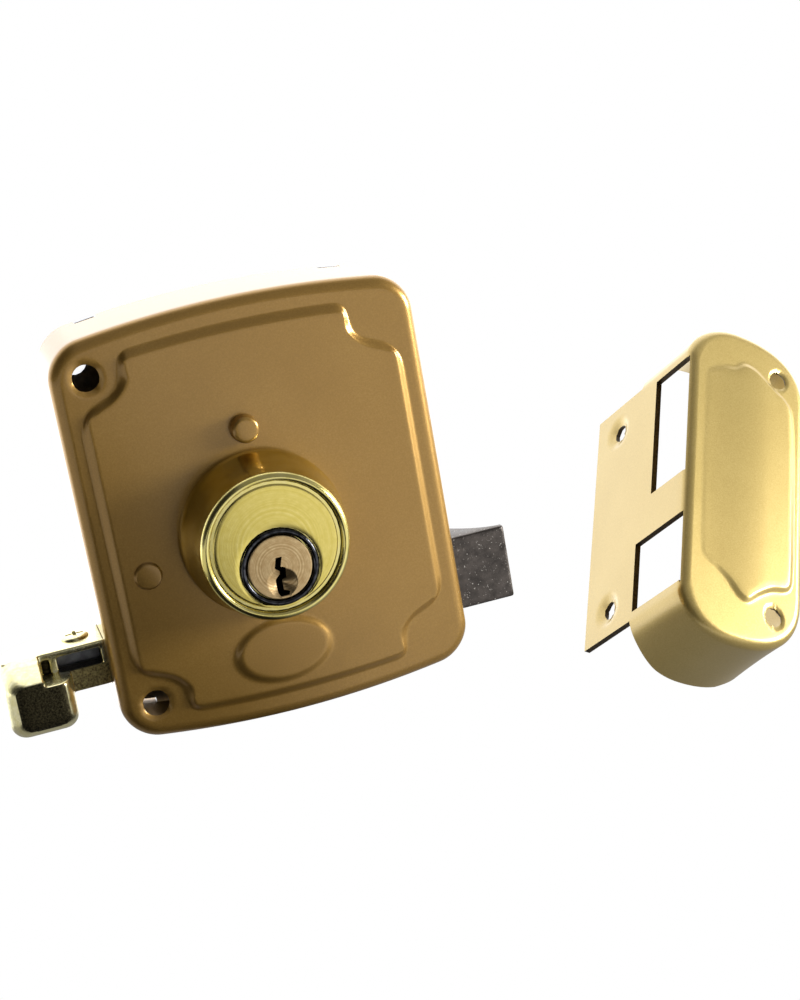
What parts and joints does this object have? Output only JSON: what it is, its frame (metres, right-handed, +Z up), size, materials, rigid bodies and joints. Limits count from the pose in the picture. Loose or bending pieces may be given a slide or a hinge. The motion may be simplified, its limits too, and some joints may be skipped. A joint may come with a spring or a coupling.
{
  "type": "rim night latch",
  "caption": "Surface-mounted door lock with off-centre keyed cylinder, sprung latch with finger pull, square deadbolt and a domed keeper with two windows.",
  "frame": {"origin": "middle of the case on its mounting plane, which is the door's face", "axes": "+X from the case towards the keeper, +Y into the door, +Z up; the cylinder faces -Y"},
  "size_m": [0.1989, 0.0959, 0.1153],
  "materials": {
    "gold_paint": "metallic gold-bronze paint, satin gloss",
    "polished_brass": "polished and lacquered",
    "plug_brass": "turned, fine radial grain",
    "dark_steel": "dark bright steel",
    "gilt_casting": "gilt plated die casting",
    "bolt_casting": "dark nickel plated, mottled",
    "zinc_steel": "zinc plated"
  },
  "bodies": {
    "lock_case": {"cover_shell": "gold_paint", "back_plate": "zinc_steel", "forend_plate": "gold_paint", "upper_post": "gold_paint", "lower_post": "gold_paint", "cylinder_collar": "polished_brass", "cylinder_body": "polished_brass", "bezel_ring": "dark_steel", "driver_pin_1": "zinc_steel", "driver_pin_2": "zinc_steel", "driver_pin_3": "zinc_steel", "driver_pin_4": "zinc_steel", "driver_pin_5": "zinc_steel", "pin_spring_1": "zinc_steel", "pin_spring_2": "zinc_steel", "pin_spring_3": "zinc_steel", "pin_spring_4": "zinc_steel", "pin_spring_5": "zinc_steel", "chamber_cover": "polished_brass", "cylinder_screw_left": "zinc_steel", "cylinder_screw_right": "zinc_steel", "bar_bracket": "zinc_steel", "latch_spring": "zinc_steel"},
    "latch": {"latch_bolt": "bolt_casting", "latch_bar": "zinc_steel", "latch_pin": "zinc_steel", "pull_handle": "gilt_casting", "pull_screw": "gilt_casting"},
    "plug": {"cylinder_plug": "plug_brass", "key_pin_1": "plug_brass", "key_pin_2": "plug_brass", "key_pin_3": "plug_brass", "key_pin_4": "plug_brass", "key_pin_5": "plug_brass", "plug_crank": "zinc_steel"},
    "deadbolt": {"deadbolt": "bolt_casting", "bolt_slider": "zinc_steel", "bolt_rivet_1": "zinc_steel", "bolt_rivet_2": "zinc_steel"},
    "keeper": {"keeper": "gold_paint"}
  },
  "joints": [
    {"name": "latch_slide", "type": "slide", "parent": "lock_case", "child": "latch", "axis": [-1, 0, 0], "range_m": [0, 0.012], "stiffness_N_per_m": 300, "springref_m": -0.012, "deforming": ["latch_spring"]},
    {"name": "plug_turn", "type": "hinge", "parent": "lock_case", "child": "plug", "pos_m": [-0.002, -0.022, -0.0082], "axis": [0, 1, 0], "range_deg": [0, 90]},
    {"name": "deadbolt_slide", "type": "slide", "parent": "lock_case", "child": "deadbolt", "axis": [1, 0, 0], "range_m": [0, 0.0141]},
    {"name": "keeper_turn", "type": "hinge", "parent": "lock_case", "child": "keeper", "pos_m": [0.0748, -0.0163, -0.0481], "axis": [0.7554, -0.6143, -0.2281], "range_deg": [0, 49.5]}
  ],
  "couplings": [
    {"joint": "plug_turn", "follows": "deadbolt_slide", "rad_per_m": 111.4}
  ]
}
